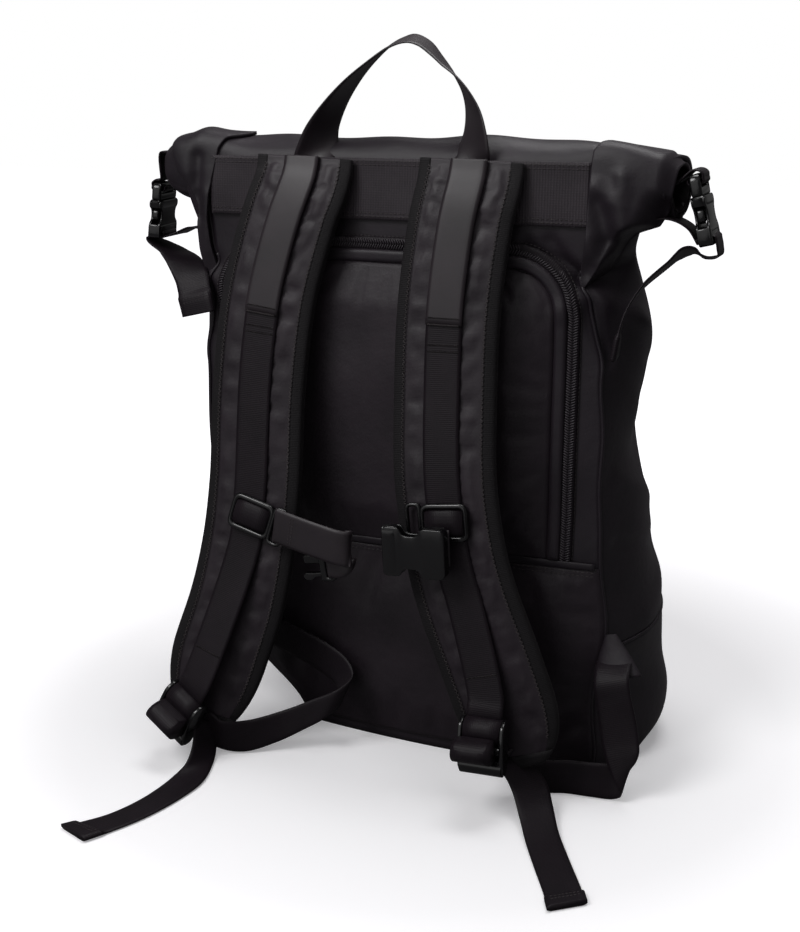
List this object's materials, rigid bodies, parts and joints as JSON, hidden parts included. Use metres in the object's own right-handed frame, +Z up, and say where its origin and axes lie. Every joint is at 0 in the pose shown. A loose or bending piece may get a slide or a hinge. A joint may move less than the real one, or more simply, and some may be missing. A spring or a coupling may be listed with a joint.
{
  "type": "roll-top backpack",
  "caption": "Soft roll-top backpack with a zipped door in its back panel, padded shoulder straps, webbing adjusters, a grab handle and side-release buckles.",
  "frame": {"origin": "on the floor at the middle of the bag's flat base", "axes": "+Z up, -Y the way the back panel and shoulder straps face, +X to the right when looking at the back panel"},
  "size_m": [0.4154, 0.3685, 0.5078],
  "materials": {
    "nylon": "close plain weave, soft satin, near black",
    "padding": "close plain weave over foam, near black",
    "webbing": "ribbed woven webbing, satin, brownish black",
    "plastic": "moulded, semi-gloss black"
  },
  "bodies": {
    "root": {"back_panel": "nylon", "side_panel_right": "nylon", "side_panel_left": "nylon", "front_panel": "nylon", "base_cup": "nylon", "roll_top": "nylon", "anchor_tab_left": "nylon", "anchor_tab_right": "nylon", "back_door": "padding", "lower_back_panel": "padding", "strap_left": "padding", "strap_right": "padding", "top_band": "webbing", "zip_tape": "webbing", "strap_webbing_left": "webbing", "strap_webbing_right": "webbing", "adjust_webbing_left": "webbing", "adjust_webbing_right": "webbing", "grab_handle": "webbing", "roll_tab_left": "webbing", "roll_tab_right": "webbing", "side_webbing_left": "webbing", "side_webbing_right": "webbing", "sternum_webbing": "webbing", "sternum_webbing_short": "webbing", "zip_coil": "plastic", "ladder_lock_left": "plastic", "ladder_lock_right": "plastic", "side_buckle_female_left": "plastic", "side_buckle_female_right": "plastic", "side_buckle_male_left": "plastic", "side_buckle_male_right": "plastic", "sternum_slider_left": "plastic", "sternum_slider_right": "plastic", "sternum_buckle_female": "plastic", "sternum_buckle_male": "plastic"}
  },
  "joints": []
}
